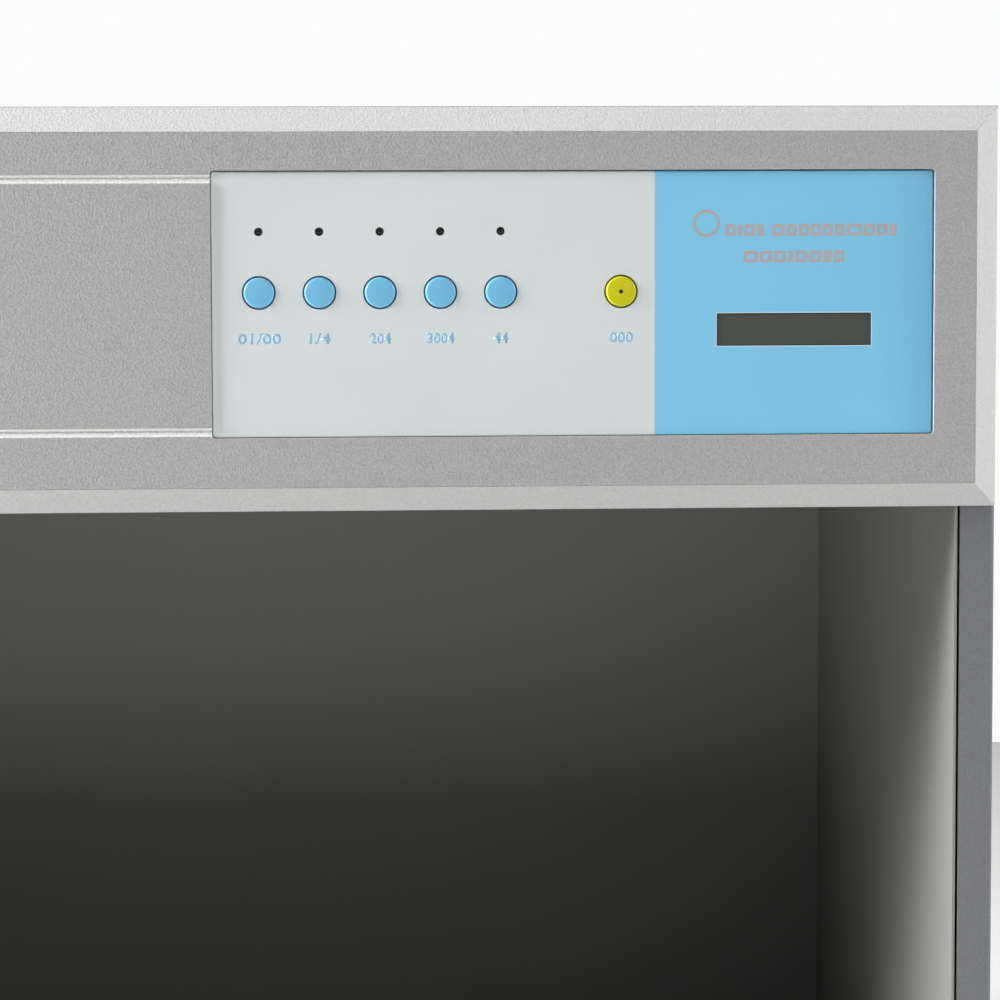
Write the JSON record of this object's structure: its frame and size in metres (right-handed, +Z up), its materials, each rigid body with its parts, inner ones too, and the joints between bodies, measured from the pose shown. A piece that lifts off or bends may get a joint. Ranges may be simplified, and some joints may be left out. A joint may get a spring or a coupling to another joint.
{
  "type": "colour assessment cabinet",
  "caption": "Open-fronted grey viewing booth with a lamp head above, a push-button control panel and a small display.",
  "frame": {"origin": "on the surface that the feet stand on, under the middle of the cabinet's box", "axes": "+X to the right as seen from the front, +Y from the front to the back, +Z up"},
  "size_m": [0.71, 0.405, 0.57],
  "materials": {
    "casing_paint": "fine-textured grey powder coat",
    "bezel_paint": "light grey satin paint with a fine texture",
    "fascia_paint": "mid grey paint with an orange-peel texture",
    "chamber_grey": "matt neutral grey viewing-booth paint",
    "reflector_white": "white enamel",
    "rubber_black": "matt black rubber",
    "overlay_print": "satin printed plastic, pale grey with a sky-blue field",
    "button_blue": "glossy sky-blue plastic",
    "button_yellow": "glossy yellow plastic",
    "led_lens": "dark tinted indicator lens, unlit",
    "lcd_glass": "dark olive display window, unlit",
    "circuit_card": "green circuit card",
    "tube_phosphor": "white phosphor-coated glass with metal caps",
    "tube_ultraviolet": "deep violet filter glass with metal caps",
    "bulb_glass": "frosted bulb glass with a metal cap",
    "holder_white": "white heat-proof moulding",
    "ballast_steel": "zinc-plated steel case",
    "inlet_black": "black moulded plastic"
  },
  "bodies": {
    "cabinet": {"side_panel_left": "casing_paint", "side_panel_right": "casing_paint", "base_panel": "casing_paint", "rear_panel": "casing_paint", "top_cover": "casing_paint", "head_baffle": "casing_paint", "bezel_frame": "bezel_paint", "fascia_plate": "fascia_paint", "chamber_wall_left": "chamber_grey", "chamber_wall_right": "chamber_grey", "chamber_back": "chamber_grey", "chamber_floor": "chamber_grey", "reflector": "reflector_white", "foot_front_left": "rubber_black", "foot_front_right": "rubber_black", "foot_rear_left": "rubber_black", "foot_rear_right": "rubber_black", "control_overlay": "overlay_print", "led_power": "led_lens", "led_tungsten": "led_lens", "led_daylight": "led_lens", "led_store": "led_lens", "led_ultraviolet": "led_lens", "lcd_window": "lcd_glass", "lcd_module": "circuit_card", "control_board": "circuit_card", "power_board": "circuit_card", "bulb_left": "bulb_glass", "bulb_right": "bulb_glass", "lampholder_left_1": "holder_white", "lampholder_left_2": "holder_white", "lampholder_left_3": "holder_white", "lampholder_left_4": "holder_white", "lampholder_left_5": "holder_white", "lampholder_right_1": "holder_white", "lampholder_right_2": "holder_white", "lampholder_right_3": "holder_white", "lampholder_right_4": "holder_white", "lampholder_right_5": "holder_white", "bulb_holder_left": "holder_white", "bulb_holder_right": "holder_white", "terminal_block": "holder_white", "ballast_1": "ballast_steel", "ballast_2": "ballast_steel", "ballast_3": "ballast_steel", "power_inlet": "inlet_black"},
    "button_power": {"button_power": "button_blue"},
    "button_tungsten": {"button_tungsten": "button_blue"},
    "button_daylight": {"button_daylight": "button_blue"},
    "button_store": {"button_store": "button_blue"},
    "button_ultraviolet": {"button_ultraviolet": "button_blue"},
    "button_clear": {"button_clear": "button_yellow"},
    "tube_daylight_front": {"tube_daylight_front": "tube_phosphor"},
    "tube_store_front": {"tube_store_front": "tube_phosphor"},
    "tube_daylight_rear": {"tube_daylight_rear": "tube_phosphor"},
    "tube_store_rear": {"tube_store_rear": "tube_phosphor"},
    "tube_ultraviolet": {"tube_ultraviolet": "tube_ultraviolet"},
    "fuse_drawer": {"fuse_drawer": "inlet_black"}
  },
  "joints": [
    {"name": "press_power", "type": "slide", "parent": "cabinet", "child": "button_power", "axis": [0, 1, 0], "range_m": [0, 0.0005], "stiffness_N_per_m": 2500, "springref_m": -0.0004},
    {"name": "press_tungsten", "type": "slide", "parent": "cabinet", "child": "button_tungsten", "axis": [0, 1, 0], "range_m": [0, 0.0005], "stiffness_N_per_m": 2500, "springref_m": -0.0004},
    {"name": "press_daylight", "type": "slide", "parent": "cabinet", "child": "button_daylight", "axis": [0, 1, 0], "range_m": [0, 0.0005], "stiffness_N_per_m": 2500, "springref_m": -0.0004},
    {"name": "press_store", "type": "slide", "parent": "cabinet", "child": "button_store", "axis": [0, 1, 0], "range_m": [0, 0.0005], "stiffness_N_per_m": 2500, "springref_m": -0.0004},
    {"name": "press_ultraviolet", "type": "slide", "parent": "cabinet", "child": "button_ultraviolet", "axis": [0, 1, 0], "range_m": [0, 0.0005], "stiffness_N_per_m": 2500, "springref_m": -0.0004},
    {"name": "press_clear", "type": "slide", "parent": "cabinet", "child": "button_clear", "axis": [0, 1, 0], "range_m": [0, 0.0005], "stiffness_N_per_m": 2500, "springref_m": -0.0004},
    {"name": "twist_daylight_front", "type": "hinge", "parent": "cabinet", "child": "tube_daylight_front", "pos_m": [0, -0.13, 0.47], "axis": [1, 0, 0], "range_deg": [0, 90]},
    {"name": "twist_store_front", "type": "hinge", "parent": "cabinet", "child": "tube_store_front", "pos_m": [0, -0.084, 0.47], "axis": [1, 0, 0], "range_deg": [0, 90]},
    {"name": "twist_daylight_rear", "type": "hinge", "parent": "cabinet", "child": "tube_daylight_rear", "pos_m": [0, -0.038, 0.47], "axis": [1, 0, 0], "range_deg": [0, 90]},
    {"name": "twist_store_rear", "type": "hinge", "parent": "cabinet", "child": "tube_store_rear", "pos_m": [0, 0.008, 0.47], "axis": [1, 0, 0], "range_deg": [0, 90]},
    {"name": "twist_ultraviolet", "type": "hinge", "parent": "cabinet", "child": "tube_ultraviolet", "pos_m": [0, 0.054, 0.47], "axis": [1, 0, 0], "range_deg": [0, 90]},
    {"name": "pull_fuse_drawer", "type": "slide", "parent": "cabinet", "child": "fuse_drawer", "axis": [0, 1, 0], "range_m": [0, 0.018]}
  ]
}
